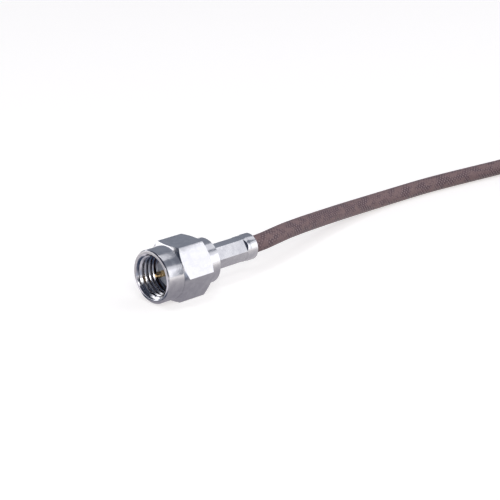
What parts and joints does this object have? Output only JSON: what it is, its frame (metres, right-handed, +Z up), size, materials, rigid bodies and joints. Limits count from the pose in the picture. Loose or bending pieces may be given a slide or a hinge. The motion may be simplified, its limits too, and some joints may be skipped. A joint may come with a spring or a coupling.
{
  "type": "sma connector",
  "caption": "Straight SMA-type coaxial plug with a free-turning threaded hexagon coupling nut, gold centre pin and crimped ferrule, on a thin coaxial lead with a bare end.",
  "frame": {"origin": "centre of the mating reference plane, at the front end of the outer contact, on the plug's axis", "axes": "-X out of the plug's mouth, +X along the plug towards the cable, +Z up from the flat that the nut rests on"},
  "size_m": [0.1123, 0.0374, 0.008],
  "materials": {
    "nickel": "bright nickel plate over turned brass",
    "spring_brass": "bare spring bronze",
    "silicone": "soft satin",
    "ptfe": "waxy white",
    "gold_plate": "bright gold plate",
    "silvered_wire": "silvered copper wire",
    "jacket": "smooth brown fluoropolymer"
  },
  "bodies": {
    "plug": {"plug_body": "nickel", "retaining_ring": "spring_brass", "gasket": "silicone", "front_insulator": "ptfe", "centre_pin": "gold_plate", "crimp_ferrule": "nickel", "cable_conductor": "silvered_wire", "cable_dielectric": "ptfe", "cable_braid": "silvered_wire", "cable_jacket": "jacket", "cable_run": "jacket", "cable_coil": "jacket", "cable_tail": "jacket", "tail_braid": "silvered_wire", "tail_dielectric": "ptfe", "tail_conductor": "silvered_wire"},
    "nut": {"coupling_nut": "nickel"}
  },
  "joints": [
    {"name": "nut_spin", "type": "hinge", "parent": "plug", "child": "nut", "pos_m": [0.0045, 0, 0], "axis": [1, 0, 0], "continuous": true}
  ]
}
